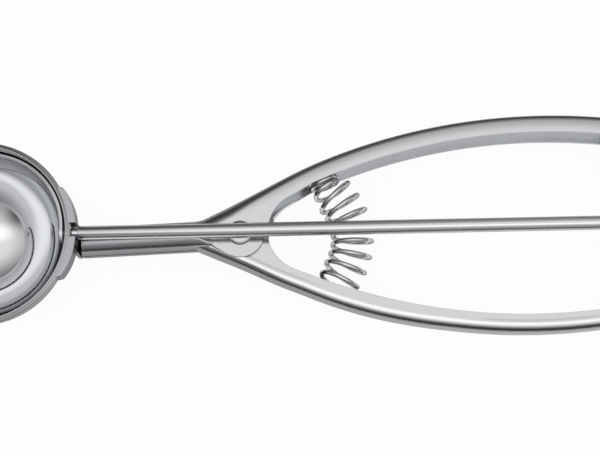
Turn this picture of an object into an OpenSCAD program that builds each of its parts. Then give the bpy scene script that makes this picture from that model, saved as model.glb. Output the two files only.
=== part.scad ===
/* [Bowl] */
// Inside radius of the hemispherical bowl
bowl_r = 25; // [18:0.5:32]
// Wall of the spun bowl
bowl_wall = 0.8; // [0.6:0.1:1.2]
// Straight collar of the bowl above the shaft axis
bowl_collar = 3.5; // [2:0.1:6]

/* [Bowl bracket] */
// Pocket between the bowl and the bracket band
pocket = 1.1; // [0.8:0.1:2]
// Sheet of the bracket
bracket_sheet = 1.2; // [0.9:0.1:1.6]
// Half angle over which the raised band runs
band_half_angle = 28; // [22:1:34]
// Angle that each welded end pad covers
pad_angle = 6; // [4:1:10]
// Top of the band above the shaft axis
band_top = 3; // [2.4:0.1:4]
// Bottom of the band's arms below the shaft axis
band_bottom = 2.6; // [2:0.1:4]
// Bottom of the tongue that the neck is welded to
tongue_bottom = 12.6; // [11:0.1:14]
// Half width of the tongue
tongue_half_width = 4.6; // [4:0.1:6]

/* [Wiper blade] */
// Thickness of the blade
blade_sheet = 0.8; // [0.6:0.1:1]
// Gap between the blade and the bowl
blade_gap = 0.4; // [0.3:0.05:0.8]
// Width of the blade at mid span
blade_width = 8.4; // [6:0.1:11]
// Radius of the round tabs at both ends
blade_tab_r = 3.3; // [2.8:0.1:4]
// How far below the rim side the parked blade's centre lies, in degrees
blade_park = 11; // [8:1:16]
// Radius of the pin at the far side
blade_pin_r = 1; // [0.8:0.1:1.3]
// Radius of the far pin's head
blade_pin_head_r = 2; // [1.6:0.1:2.6]

/* [Wiper shaft] */
// Radius of the long shaft
shaft_r = 2; // [1.6:0.1:2.6]
// Radius of the stub that enters the bowl
stub_r = 1.3; // [1:0.1:1.5]
// Radial play of every turning fit
running_play = 0.06; // [0.03:0.01:0.1]
// Radius of the closing head inside the bowl
blade_rivet_r = 2.4; // [2:0.1:3]
// Length of shaft beyond the outer bearing ear
shaft_overhang = 4; // [3:0.1:7]

/* [Pivot] */
// Distance from the bowl's centre to the pivot
pivot_x = 74; // [66:0.5:84]
// Radius of the pivot rivet
rivet_r = 1.9; // [1.5:0.1:2.4]
// Radius of the rivet's domed head
rivet_head_r = 3.05; // [2.8:0.05:3.6]
// Height of the rivet's heads
rivet_head_h = 1.1; // [0.8:0.1:1.2]
// Radius of the round ears
ear_r = 7; // [5.6:0.1:7.1]

/* [Handles] */
// Width of the fixed handle over its flanges
handle_width = 11.6; // [10.5:0.1:13]
// Gap between the shaft and the fixed handle's front face
front_gap = 1.4; // [1.3:0.1:2]
// Thickness of the handle sheet
sheet = 0.9; // [0.8:0.05:1.1]
// Height of the flanges along the grips
flange_h = 5; // [4:0.1:6]
// Outside radius of the bend between web and flange
shoulder_r = 2; // [1.4:0.1:2.2]
// Sideways gap between the fixed handle's and the lever's flanges
side_gap = 0.12; // [0.1:0.01:0.2]
// Angle of the straight stretch of both grips, in degrees
splay = 25.5; // [23:0.5:28]
// Distance from the pivot axis to the outside of the fixed handle's web
fixed_offset = 9.03; // [8.6:0.01:9.6]
// Distance from the pivot axis to the outside of the lever's web
lever_offset = 8.4; // [8.2:0.01:8.6]
// Angle by which the lever rests closer to the shaft, in degrees
lever_closer = 2; // [0:0.1:2.5]
// Length of the straight stretch, from the foot of the pivot's normal
straight_run = 19.8; // [18:0.1:23]
// Radius of the long bow of each grip
grip_r = 173; // [160:1:190]
// Angle through which the long bow turns, in degrees
grip_turn = 31; // [29.5:0.5:32.5]
// Radius of the tail bow
tail_r = 60; // [52:1:70]
// Angle through which the tail bow turns, in degrees
tail_turn = 33; // [28:1:36]
// Radius of the round crotch between the grips
crotch_r = 12.1; // [11.6:0.1:12.6]
// Distance from the pivot to the crotch circle's centre
crotch_x = 20; // [19.6:0.1:20.8]

/* [Neck] */
// Height of the closed neck
neck_height = 7.4; // [6.6:0.1:8]
// Rise of the neck towards the pivot, in degrees
neck_angle = 2; // [0:0.1:3]
// Height of the neck's centre line above the pivot
neck_lift = 0.7; // [0.4:0.1:1]
// Outside radius of the neck's lower bends
neck_corner = 2.8; // [2:0.1:3.2]
// Seam left open under the neck
neck_seam = 0.7; // [0.4:0.1:1.2]
// Radius of the bend between the neck and the grip
blend_r = 12; // [9:0.5:14]
// Distance before the pivot at which the neck's underside ends
neck_floor_end = 8.4; // [8:0.1:9.4]
// Gap under the neck at which the lever's nose rests
nose_gap = 0.05; // [0.03:0.01:0.2]

/* [Return spring] */
// Wire diameter
wire_d = 1.3; // [1:0.05:1.5]
// Mean radius of the coils at mid length
coil_r = 5.65; // [5:0.05:6]
// Mean radius of the end coils inside the channels
coil_end_r = 3.1; // [2.9:0.05:3.3]
// Number of turns
coil_turns = 12.5; // [11:0.5:13.5]
// Sideways bow of the spring
spring_bow = 7.4; // [6:0.1:8]
// Distance from the pivot to the spring's upper seat
upper_seat_x = 22.8; // [22:0.1:26]
// Distance from the pivot to the spring's lower seat
lower_seat_x = 24.4; // [23:0.1:27]
// Radius of the two pegs that hold the spring
peg_r = 2.2; // [1.8:0.1:2.3]
// Height of the pegs
peg_h = 3.2; // [2.4:0.1:4]

/* [Rack and pinion] */
// Distance from the pivot to the rack, along the shaft
rack_r = 116; // [112:0.5:120]
// Module of the teeth
tooth_module = 0.8; // [0.75:0.01:0.85]
// Number of pinion teeth
pinion_teeth = 14; // [14:1:15]
// Width of the pinion
pinion_width = 3.4; // [2.6:0.1:3.6]
// Thickness of the rack plate
rack_plate = 1.8; // [1.4:0.1:2.2]
// Height of the rack plate above its tooth roots
rack_back = 3; // [2.4:0.1:4]
// Play between the teeth, along the pitch line
backlash = 0.16; // [0.12:0.01:0.25]
// Rack teeth on the lever's side of the shaft's centre
teeth_before = 8; // [8:1:9]
// Height of the rack's leg along the lever's flange
rack_leg = 3; // [2.6:0.1:3.2]
// Thickness of the rack's foot
rack_foot = 1; // [0.8:0.1:1.2]

/* [Bearing bracket] */
// Thickness of the bracket's plate and ears
ear_sheet = 1; // [0.8:0.1:1.2]
// Inside distance between the ears
ear_gap = 4; // [3.8:0.1:4.6]
// Radius of the ears round the shaft
bearing_r = 4.2; // [3.6:0.1:4.6]
// Distance from the shaft to the bracket plate's near edge
plate_start = 7.4; // [7.2:0.1:9]
// Half length of the feet that are riveted to the flanges
foot_half = 7; // [6:0.1:9]
// Radius of the small rivets
small_rivet_r = 0.9; // [0.7:0.1:1]
// Height of the small rivets' heads
small_head_h = 0.6; // [0.4:0.1:0.8]
// Thickness of the washer and of the clip
clip_sheet = 0.6; // [0.5:0.05:0.8]
// Outside radius of the washer and of the clip
clip_r = 3.5; // [3:0.1:4]

/* [Hidden] */
$fn = 96;
steel = [0.78, 0.79, 0.8];
bright_steel = [0.86, 0.87, 0.88];
dull_steel = [0.66, 0.67, 0.69];
over = 1;  // how far a cutting shape runs past what it cuts
lap = 0.05;        // how far two stretches of one stamping run into each other
weld_step = 0.01;  // how far every other stretch stands proud, so that they join cleanly

// Bowl and bracket
bowl_out = bowl_r + bowl_wall;
band_in = bowl_out + pocket;
band_out = band_in + bracket_sheet;
notch_half = stub_r + 0.4;
blade_out = bowl_r - blade_gap;
blade_in = blade_out - blade_sheet;
blade_pin_head = 0.8;
blade_rivet_h = 1;

// Heights of the handle stampings
fixed_front = -shaft_r - front_gap;
fixed_rear = fixed_front - handle_width;
lever_front = fixed_front - sheet - side_gap;
lever_rear = fixed_rear + sheet + side_gap;
middle_z = (fixed_front + fixed_rear) / 2;
ear_front = fixed_front + 2 * weld_step;  // the ear plates cover the stretches they join
ear_rear = fixed_rear - 2 * weld_step;
bend_inner_r = shoulder_r - sheet;

// Neck
neck_top = neck_lift + neck_height / 2;
blend_centre = crossing(fixed_offset + blend_r, splay, neck_top + blend_r, neck_angle);
neck_end = blend_centre * direction(neck_angle);
neck_start = band_in - pivot_x - over;
straight_start = blend_centre * direction(splay);
mouth_slope = 28;  // slant of the neck's mouth against the bowl bracket
mouth_depth = 5;   // how far back from the front face the mouth is cut
flare = 0.4;       // how far the ear plates stand below the neck's underside
flare_start = 14;
ear_flare_angle = -117;

// Lever
nose_line = neck_lift - neck_height / 2 - nose_gap;
lever_ear_clear = 0.5;  // gap between the neck's underside end and the lever's ears

// Rack and pinion
pitch = PI * tooth_module;
pitch_r = pinion_teeth * tooth_module / 2;
pressure_angle = 20;
pinion_tip_r = pitch_r + tooth_module;
rack_addendum = 0.775 * tooth_module;
root_clearance = 0.225 * tooth_module;
pinion_root_r = pitch_r - rack_addendum - root_clearance;
rack_root_z = pitch_r + tooth_module + 0.25 * tooth_module;
rack_tip_z = pitch_r - rack_addendum;
rack_top_z = rack_root_z + rack_back;
rack_x = pivot_x + rack_r;
rack_end = 4;  // how far the rack reaches past the shaft's centre
teeth_after = 1;
flank_steps = 5;

// Feet of the rack and of the bracket, each along the middle of a flange's flat
foot_inset = (flange_h + shoulder_r) / 2;
foot_reach = 1.35;  // half width of a foot
fixed_beyond = rack_r > joint_point(fixed_offset)[0];
fixed_foot = at_x(rack_r, bow_centre(fixed_offset, fixed_beyond), foot_line_r(fixed_beyond));
fixed_foot_slope = slope_at(fixed_foot, bow_centre(fixed_offset, fixed_beyond));
lever_beyond = rack_r > norm(joint_point(lever_offset));
lever_foot = at_reach(rack_r, bow_centre(lever_offset, lever_beyond), foot_line_r(lever_beyond));
lever_foot_slope = slope_at(lever_foot, bow_centre(lever_offset, lever_beyond));
bracket_z = fixed_front + weld_step;
rack_foot_z = lever_front + weld_step;
ear_x = ear_gap / 2;
rivet_inset = 2.4;  // from the end of a foot to its rivet
rivet_place = foot_half - rivet_inset;
head_ratio = 1.5;
shaft_end = rack_x + ear_x + ear_sheet + shaft_overhang;
clip_x = rack_x + ear_x + ear_sheet + running_play + clip_sheet;
groove_depth = 0.5;
groove_play = 0.05;

// Spring
spring_seat_gap = 0.2;
spring_start = wire_d / 2 + spring_seat_gap;
closed_turns = 1.75;  // end coils that lie on each other
closed_pitch = wire_d + 0.15;
taper_turns = 1;  // over which the coils widen
pitch_ease = 0.2;
open_turns = coil_turns - 2 * closed_turns;
upper_seat = seat_point(fixed_offset, upper_seat_x);
upper_normal = seat_normal(fixed_offset, upper_seat_x);
lower_seat = turned(flipped(seat_point(lever_offset, lower_seat_x)), lever_closer);
lower_normal = turned(flipped(seat_normal(lever_offset, lower_seat_x)), lever_closer);
spring_a = upper_seat + upper_normal * (spring_start + closed_pitch * closed_turns);
spring_b = lower_seat + lower_normal * (spring_start + closed_pitch * closed_turns);
spring_pull = (spring_a + spring_b) / 2 + unit(turned(spring_b - spring_a, 90)) * 2 * spring_bow;
steps_per_turn = 18;
wire_sides = 8;
spring_steps = round(coil_turns * steps_per_turn);

// Place of the whole tool: bottom centre of its bounding box at the origin
tail_point = tail_centre(fixed_offset)
  + direction(splay + 90 - grip_turn - tail_turn) * tail_r;
left_x = -bowl_out - blade_pin_head;
right_x = pivot_x + tail_point[0];
top_y = grip_centre(fixed_offset)[1] + grip_r;
bottom_y = turned(flipped(grip_centre(lever_offset)), lever_closer)[1] - grip_r;
shift = [-(left_x + right_x) / 2, -(top_y + bottom_y) / 2, bowl_out];

// Plane geometry
function direction(a) = [cos(a), sin(a)];
function flipped(p) = [p[0], -p[1]];
function turned(p, a) = [p[0] * cos(a) - p[1] * sin(a), p[0] * sin(a) + p[1] * cos(a)];
// Where two lines meet, each given by its distance from the pivot and its slope
function crossing(d1, a1, d2, a2) =
  let (n1 = direction(a1 + 90), n2 = direction(a2 + 90))
  let (det = n1[0] * n2[1] - n2[0] * n1[1])
  [(d1 * n2[1] - d2 * n1[1]) / det, (n1[0] * d2 - n2[0] * d1) / det];
function along(offset, s) = direction(splay + 90) * offset + direction(splay) * s;
function grip_centre(offset) = along(offset - grip_r, straight_run);
function tail_centre(offset) =
  grip_centre(offset) + direction(splay + 90 - grip_turn) * (grip_r - tail_r);
function neck_at(t, v) =
  direction(neck_angle) * t + direction(neck_angle + 90) * (neck_lift + v);
// Where the long bow passes into the tail bow, in the middle of the flange's flat
function joint_point(offset) =
  grip_centre(offset) + direction(splay + 90 - grip_turn) * (grip_r - foot_inset);
function bow_centre(offset, beyond) = beyond ? tail_centre(offset) : grip_centre(offset);
function foot_line_r(beyond) = (beyond ? tail_r : grip_r) - foot_inset;
// Upper point of a circle at a given x, and at a given distance from the pivot
function at_x(x, c, r) = [x, c[1] + sqrt(r * r - pow(x - c[0], 2))];
function at_reach(reach, c, r) =
  let (far = norm(c), m = (reach * reach - r * r + far * far) / (2 * far))
  c / far * m + turned(c / far, 90) * sqrt(reach * reach - m * m);
function slope_at(p, c) = atan2(p[1] - c[1], p[0] - c[0]) - 90;
function seat_angle(offset, x) = acos((x - grip_centre(offset)[0]) / (grip_r - sheet));
function seat_point(offset, x) =
  grip_centre(offset) + direction(seat_angle(offset, x)) * (grip_r - sheet);
function seat_normal(offset, x) = -direction(seat_angle(offset, x));

module place() {
  translate(shift) children();
}

module at_pivot() {
  place() translate([pivot_x, 0, 0]) children();
}

// Cylinder along +X from x0 to x1
module rod_x(r, x0, x1) {
  translate([x0, 0, 0]) rotate([0, 90, 0]) cylinder(r = r, h = x1 - x0);
}

// Plate in the XY plane between two heights
module plate(z0, z1) {
  translate([0, 0, z0]) linear_extrude(z1 - z0) children();
}

// Channel section: the web's outside lies at x = 0 and the flanges point to -x
module channel_shape(depth, z0, z1, r) {
  translate([-depth, z0]) square([depth - r, z1 - z0]);
  translate([-r, z0 + r]) square([r, z1 - z0 - 2 * r]);
  for (z = [z0 + r, z1 - r]) translate([-r, z]) circle(r);
}

// Channel of handle sheet, with its wall grown on both sides
module channel(depth, z0, z1, grow) {
  wall = sheet + grow;
  difference() {
    translate([grow, 0]) channel_shape(depth + 2 * grow, z0 - grow, z1 + grow, shoulder_r);
    translate([-wall, 0]) channel_shape(depth + over, z0 + wall, z1 - wall, bend_inner_r);
  }
}

// Part of a bow of channel, from angle 0 to turn, running a lap past both ends
module bow(r, turn, z0, z1) {
  lap_turn = lap / r * 180 / PI;
  rotate(-lap_turn) rotate_extrude(angle = turn + 2 * lap_turn)
    translate([r, 0]) channel(flange_h, z0, z1, 0);
}

// One grip: straight stretch, long bow and tail bow, on the +Y side of the pivot
module grip(offset, start, z0, z1) {
  translate(along(offset, start)) rotate(splay) rotate([90, 0, 90])
    linear_extrude(straight_run - start) channel(flange_h, z0, z1, weld_step);
  translate(grip_centre(offset)) rotate(splay + 90 - grip_turn)
    bow(grip_r, grip_turn, z0, z1);
  translate(tail_centre(offset)) rotate(splay + 90 - grip_turn - tail_turn)
    rotate_extrude(angle = tail_turn) translate([tail_r, 0])
      channel(flange_h, z0, z1, weld_step);
}

// Bowl

module bowl() {
  color(bright_steel) place() difference() {
    rotate_extrude() intersection() {
      difference() {
        union() {
          circle(bowl_out);
          square([bowl_out, bowl_collar]);
        }
        circle(bowl_r);
        square([bowl_r, bowl_collar + over]);
      }
      translate([0, -bowl_out - over]) square([bowl_out + over, bowl_out + bowl_collar + over]);
    }
    rod_x(stub_r + running_play, bowl_r - over, bowl_out + over);
    rod_x(blade_pin_r, -bowl_out - over, -bowl_r + over);
  }
}

// Wedge of the plan, a half angle to each side of +x
module wedge(half) {
  polygon([[0, 0], 2 * band_out * direction(-half), 2 * band_out * direction(half)]);
}

// Plan of the band: raised over the pocket, with a pad at each end that lies on the bowl
module band_plan() {
  joggle = 1.5;
  difference() {
    intersection() {
      circle(band_out);
      wedge(band_half_angle + pad_angle);
    }
    circle(bowl_out);
    intersection() {
      circle(band_in);
      wedge(band_half_angle - joggle);
    }
    difference() {
      circle(band_out + over);
      circle(bowl_out + bracket_sheet);
      wedge(band_half_angle);
    }
  }
}

module bowl_bracket() {
  color(steel) place() difference() {
    plate(-tongue_bottom, band_top) band_plan();
    for (side = [0, 1]) mirror([0, side, 0])
      translate([0, tongue_half_width, -tongue_bottom - over])
        cube([band_out + over, band_out, tongue_bottom - band_bottom + over]);
    rod_x(notch_half, band_in - over, band_out + over);
    translate([band_in - over, -notch_half, 0])
      cube([bracket_sheet + 2 * over, 2 * notch_half, band_top + over]);
  }
}

// Fixed handle: closed neck, ears and upper grip in one stamping

module neck_shape(low, high, z0, z1, r_low, r_high) {
  polygon([
    [low + r_low, z0], [high - r_high, z0], [high, z0 + r_high], [high, z1 - r_high],
    [high - r_high, z1], [low + r_low, z1], [low, z1 - r_low], [low, z0 + r_low]
  ]);
  for (z = [z0 + r_low, z1 - r_low]) translate([low + r_low, z]) circle(r_low);
  for (z = [z0 + r_high, z1 - r_high]) translate([high - r_high, z]) circle(r_high);
}

module neck_section() {
  h = neck_height / 2 + weld_step;
  wall = sheet + 2 * weld_step;
  rear = fixed_rear - weld_step;
  front = fixed_front + weld_step;
  difference() {
    neck_shape(-h, h, rear, front, neck_corner, shoulder_r);
    neck_shape(-h + wall, h - wall, rear + wall, front - wall,
      neck_corner - sheet, bend_inner_r);
    translate([-h - over, middle_z - neck_seam / 2]) square([h + over, neck_seam]);
  }
}

// The closed neck, whose underside alone runs on to the lever's ears
module neck() {
  whole = neck_end - neck_start;
  h = neck_height / 2;
  difference() {
    translate(neck_at(neck_start, 0)) rotate(neck_angle) rotate([90, 0, 90]) difference() {
      linear_extrude(-neck_floor_end - neck_start) neck_section();
      translate([neck_corner - h, fixed_rear - over, whole])
        cube([neck_height + over, handle_width + 2 * over, -neck_start]);
    }
    // the bracket's tongue and the slanted mouth
    translate([-pivot_x, 0, fixed_rear - over]) cylinder(r = band_out, h = handle_width + 2 * over);
    translate([band_out - pivot_x, -neck_height, fixed_front - mouth_depth])
      rotate([0, 90 - mouth_slope, 0]) translate([-2 * mouth_depth, 0, -mouth_depth])
        cube([2 * mouth_depth, 2 * neck_height, mouth_depth]);
  }
  translate(blend_centre) rotate(neck_angle - 90) blend_bow();
}

// Bend from the neck's top into the grip, with its flanges on the outside of the bow
module blend_bow() {
  lap_turn = lap / blend_r * 180 / PI;
  rotate(-lap_turn) rotate_extrude(angle = splay - neck_angle + 2 * lap_turn)
    translate([blend_r, 0]) mirror([1, 0]) channel(flange_h, fixed_rear, fixed_front, 0);
}

module fixed_ear_outline() {
  h = neck_height / 2;
  difference() {
    union() {
      circle(ear_r);
      polygon([
        along(fixed_offset - shoulder_r, straight_start),
        along(fixed_offset - shoulder_r, straight_run),
        along(fixed_offset - flange_h + lap, straight_run),
        [crotch_x, 0], [0, 0],
        direction(ear_flare_angle) * (ear_r - lap),
        neck_at(-neck_floor_end, -h - flare),
        neck_at(-flare_start, 0),
        neck_at(neck_end, h - shoulder_r)
      ]);
    }
    translate([crotch_x, 0]) circle(crotch_r);
    circle(rivet_r);
  }
}

module fixed_handle() {
  color(steel) at_pivot() difference() {
    union() {
      neck();
      grip(fixed_offset, straight_start, fixed_rear, fixed_front);
      plate(fixed_front - sheet, ear_front) fixed_ear_outline();
      plate(ear_rear, fixed_rear + sheet) fixed_ear_outline();
    }
    at_fixed_foot() rivet_holes(fixed_front - sheet);
  }
}

// Lever: the lower grip, nested between the fixed handle's ears

module lever_ear_outline() {
  nose = -neck_floor_end + lever_ear_clear;
  difference() {
    union() {
      circle(ear_r - side_gap);
      polygon([
        [nose, lever_line(nose, shoulder_r)],
        along(lever_offset - shoulder_r, straight_run),
        along(lever_offset - flange_h + lap, straight_run),
        [crotch_x, 0], [0, 0]
      ]);
    }
    translate([crotch_x, 0]) circle(crotch_r);
    circle(rivet_r + running_play);
  }
}

// Height of the lever's straight stretch at x, inset from its web's outside
function lever_line(x, inset) = (lever_offset - inset) / cos(splay) + x * tan(splay);

module lever_handle() {
  nose = -neck_floor_end + lever_ear_clear;
  nose_start = -15;  // the straight stretch starts here, before the nose is trimmed
  color(steel) at_pivot() difference() {
    rotate(lever_closer) mirror([0, 1, 0]) {
      grip(lever_offset, nose_start, lever_rear, lever_front);
      plate(lever_front - sheet, lever_front) lever_ear_outline();
      plate(lever_rear, lever_rear + sheet) lever_ear_outline();
    }
    // room for the neck's underside, which the nose rests against
    plate(fixed_rear - over, fixed_front + over) polygon([
      direction(neck_angle) * -2 * flare_start
        + direction(neck_angle + 90) * nose_line,
      direction(neck_angle) * nose + direction(neck_angle + 90) * nose_line,
      direction(neck_angle) * nose + direction(neck_angle + 90) * 2 * ear_r,
      direction(neck_angle) * -2 * flare_start + direction(neck_angle + 90) * 2 * ear_r
    ]);
    plate(lever_rear - over, lever_front + over) circle(rivet_r + running_play);
    at_lever_foot() rivet_holes(lever_front - sheet);
  }
}

// Pivot

// Domed head with its flat side at z = 0, rising along +z
module dome(r, h) {
  ball = (r * r + h * h) / (2 * h);
  intersection() {
    translate([0, 0, h - ball]) sphere(ball);
    cylinder(r = r, h = h);
  }
}

module pivot_rivet() {
  color(bright_steel) at_pivot() {
    translate([0, 0, ear_rear]) cylinder(r = rivet_r, h = ear_front - ear_rear);
    translate([0, 0, ear_front]) dome(rivet_head_r, rivet_head_h);
    translate([0, 0, ear_rear]) mirror([0, 0, 1]) dome(rivet_head_r, rivet_head_h);
  }
}

module pivot_spacer() {
  spacer_wall = 0.9;
  length = handle_width - 4 * sheet - 4 * side_gap;
  color(dull_steel) at_pivot() translate([0, 0, middle_z - length / 2]) difference() {
    cylinder(r = rivet_r + running_play + spacer_wall, h = length);
    translate([0, 0, -over]) cylinder(r = rivet_r + running_play, h = length + 2 * over);
  }
}

// Wiper

module blade_outline() {
  reach = blade_out + over;
  circle(blade_tab_r);
  polygon([
    [0, -blade_tab_r], [reach / 2, -blade_width / 2], [reach, -blade_width / 2],
    [reach, blade_width / 2], [reach / 2, blade_width / 2], [0, blade_tab_r]
  ]);
}

module wiper_blade() {
  color(dull_steel) place() difference() {
    intersection() {
      difference() {
        sphere(blade_out);
        sphere(blade_in);
      }
      translate([-blade_out - over, 0, 0]) rotate([-blade_park, 0, 0]) rotate([90, 0, 90])
        linear_extrude(2 * (blade_out + over)) blade_outline();
    }
    rod_x(blade_pin_r + running_play, -blade_out - over, -blade_in + over);
    rod_x(stub_r, blade_in - over, blade_out + over);
  }
}

module blade_pin() {
  pin_reach = 0.6;
  inner_end = blade_in - pin_reach;
  color(bright_steel) place() mirror([1, 0, 0]) {
    rod_x(blade_pin_r, inner_end, bowl_out + blade_pin_head / 2);
    translate([bowl_out, 0, 0]) rotate([0, 90, 0]) dome(blade_pin_head_r, blade_pin_head);
  }
}

module blade_rivet() {
  foot = sqrt(pow(blade_in, 2) - pow(blade_rivet_r, 2));
  color(bright_steel) place() translate([foot, 0, 0]) rotate([0, -90, 0]) difference() {
    dome(blade_rivet_r, blade_rivet_h);
    translate([0, 0, -over]) cylinder(r = stub_r, h = blade_rivet_h / 2 + over);
  }
}

module wiper_shaft() {
  shoulder_gap = 0.3;
  stub_start = sqrt(pow(blade_in, 2) - pow(blade_rivet_r, 2)) - blade_rivet_h / 2;
  chamfer = 0.4;
  groove_x = clip_x - groove_play;
  color(steel) place() {
    rod_x(stub_r, stub_start, band_out + shoulder_gap);
    difference() {
      rod_x(shaft_r, band_out + shoulder_gap, shaft_end - chamfer);
      difference() {
        rod_x(shaft_r + over, groove_x, groove_x + clip_sheet + 2 * groove_play);
        rod_x(shaft_r - groove_depth, groove_x - over, groove_x + clip_sheet + over);
      }
    }
    translate([shaft_end - chamfer, 0, 0]) rotate([0, 90, 0])
      cylinder(r1 = shaft_r, r2 = shaft_r - chamfer, h = chamfer);
  }
}

// Involute flank from the base circle out to the tip
function involute(r, base) =
  let (roll = sqrt(pow(r / base, 2) - 1))
  let (a = roll * 180 / PI - atan(roll))
  [r, a];

module pinion_outline() {
  base = pitch_r * cos(pressure_angle);
  at_pitch = involute(pitch_r, base)[1];
  half_tooth = 90 / pinion_teeth - backlash / 4 / pitch_r * 180 / PI;
  radii = [for (i = [0:flank_steps]) base + (pinion_tip_r - base) * i / flank_steps];
  right = [for (r = radii) r * direction(-half_tooth - at_pitch + involute(r, base)[1])];
  left = [for (i = [flank_steps:-1:0]) flipped(right[i])];
  foot = direction(-half_tooth - at_pitch) * pinion_root_r;
  circle(pinion_root_r);
  for (i = [0:pinion_teeth - 1]) rotate(i * 360 / pinion_teeth)
    polygon(concat([[0, 0], foot], right, left, [flipped(foot)]));
}

module pinion() {
  gap_up = 90 + 180 / pinion_teeth;
  color(dull_steel) place() translate([rack_x - pinion_width / 2, 0, 0]) rotate([90, 0, 90])
    difference() {
      linear_extrude(pinion_width) rotate(gap_up) pinion_outline();
      translate([0, 0, -over]) cylinder(r = shaft_r, h = pinion_width + 2 * over);
    }
}

module shaft_washer() {
  x = rack_x + ear_x + ear_sheet + running_play;
  color(steel) place() difference() {
    rod_x(clip_r, x, x + clip_sheet - running_play);
    rod_x(shaft_r + running_play, x - over, x + clip_sheet + over);
  }
}

module shaft_clip() {
  inner = shaft_r - groove_depth;
  mouth = 1.4 * inner;  // narrower than the groove, so that the clip snaps on
  lobe_r = 0.5;
  color(dull_steel) place() difference() {
    rod_x(clip_r, clip_x, clip_x + clip_sheet);
    rod_x(inner, clip_x - over, clip_x + clip_sheet + over);
    translate([clip_x - over, -mouth / 2, 0]) cube([clip_sheet + 2 * over, mouth, clip_r + over]);
    for (a = [60, 180, 300]) rotate([a, 0, 0]) translate([0, 0, clip_r - 2 * lobe_r])
      rod_x(lobe_r, clip_x - over, clip_x + clip_sheet + over);
  }
}

// Drive at the tail

module rack_tooth() {
  half = pitch / 4 - backlash / 4;
  slope = tan(pressure_angle);
  tip = half - rack_addendum * slope;
  root = half + (rack_root_z - pitch_r) * slope;
  polygon([
    [-tip, rack_tip_z], [tip, rack_tip_z], [root, rack_root_z],
    [root, rack_root_z + over], [-root, rack_root_z + over], [-root, rack_root_z]
  ]);
}

module rack() {
  step = pitch / rack_r * 180 / PI;
  leg_turn = rack_leg / rack_r * 180 / PI;
  leg_low = lever_closer - atan2(lever_foot[1], lever_foot[0]) - leg_turn / 2;
  end_turn = rack_end / rack_r * 180 / PI;
  arm_low = min(leg_low, -(teeth_before + 1 / 2) * step);
  inner = rack_r - rack_plate / 2;
  color(steel) at_pivot() {
    rotate(arm_low) rotate_extrude(angle = end_turn - arm_low)
      translate([inner, rack_root_z]) square([rack_plate, rack_back]);
    rotate(leg_low) rotate_extrude(angle = leg_turn)
      translate([inner, rack_foot_z]) square([rack_plate, rack_top_z - rack_foot_z]);
    for (i = [-teeth_before:teeth_after]) rotate(i * step)
      translate([inner, 0, 0]) rotate([90, 0, 90]) linear_extrude(rack_plate) rack_tooth();
    at_lever_foot() difference() {
      plate(rack_foot_z, rack_foot_z + rack_foot) foot_outline();
      rivet_holes(rack_foot_z);
    }
  }
}

// Bar that lies along a flange, with its corners cut
module foot_outline() {
  corner = 0.6;
  polygon([
    [-foot_half + corner, -foot_reach], [foot_half - corner, -foot_reach],
    [foot_half, -foot_reach + corner], [foot_half, foot_reach - corner],
    [foot_half - corner, foot_reach], [-foot_half + corner, foot_reach],
    [-foot_half, foot_reach - corner], [-foot_half, -foot_reach + corner]
  ]);
}

module at_fixed_foot() {
  translate(fixed_foot) rotate(fixed_foot_slope) children();
}

module at_lever_foot() {
  rotate(lever_closer) mirror([0, 1]) translate(lever_foot) rotate(lever_foot_slope) children();
}

// Holes for the two rivets of a foot, through what lies just above and below z
module rivet_holes(z) {
  for (x = [-rivet_place, rivet_place])
    translate([x, 0, z - over]) cylinder(r = small_rivet_r, h = sheet + 2 * over);
}

module bearing_bracket() {
  top = bracket_z + ear_sheet;
  wide = ear_x + ear_sheet;
  plate_flare = 4;  // over which the plate widens into its foot
  neck_y = fixed_foot[1] - foot_reach - plate_flare;
  ear_foot = 16;    // how far up the plate the ears' gussets reach
  along_foot = direction(fixed_foot_slope) * (foot_half - foot_reach);
  foot_edge = fixed_foot - direction(fixed_foot_slope + 90) * (foot_reach - lap);
  color(steel) at_pivot() difference() {
    union() {
      plate(bracket_z, top) {
        at_fixed_foot() foot_outline();
        polygon([
          [rack_r - wide, neck_y], [rack_r + wide, neck_y],
          foot_edge + along_foot, foot_edge - along_foot
        ]);
        translate([rack_r - wide, plate_start]) square([2 * wide, neck_y - plate_start + lap]);
      }
      for (x = [-wide, ear_x]) translate([rack_r + x, 0, 0]) rotate([90, 0, 90])
        linear_extrude(ear_sheet) {
          circle(bearing_r);
          polygon([[0, bearing_r], [ear_foot, top], [ear_foot, bracket_z], [0, -bearing_r]]);
        }
    }
    rod_x(shaft_r + running_play, rack_r - wide - over, rack_r + wide + over);
    at_fixed_foot() rivet_holes(bracket_z);
  }
}

// Rivet through a foot and a flange that lies under it, with a head on both sides
module small_rivets(foot_z, foot_sheet) {
  low = foot_z - sheet - 2 * weld_step;
  high = foot_z + foot_sheet;
  for (x = [-rivet_place, rivet_place]) translate([x, 0, 0]) {
    translate([0, 0, low]) cylinder(r = small_rivet_r, h = high - low);
    translate([0, 0, high]) dome(small_rivet_r * head_ratio, small_head_h);
    translate([0, 0, low]) mirror([0, 0, 1]) dome(small_rivet_r * head_ratio, small_head_h);
  }
}

module bracket_rivets() {
  color(bright_steel) at_pivot() at_fixed_foot() small_rivets(bracket_z, ear_sheet);
}

module rack_rivets() {
  color(bright_steel) at_pivot() at_lever_foot() small_rivets(rack_foot_z, rack_foot);
}

// Spring and its pegs

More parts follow.
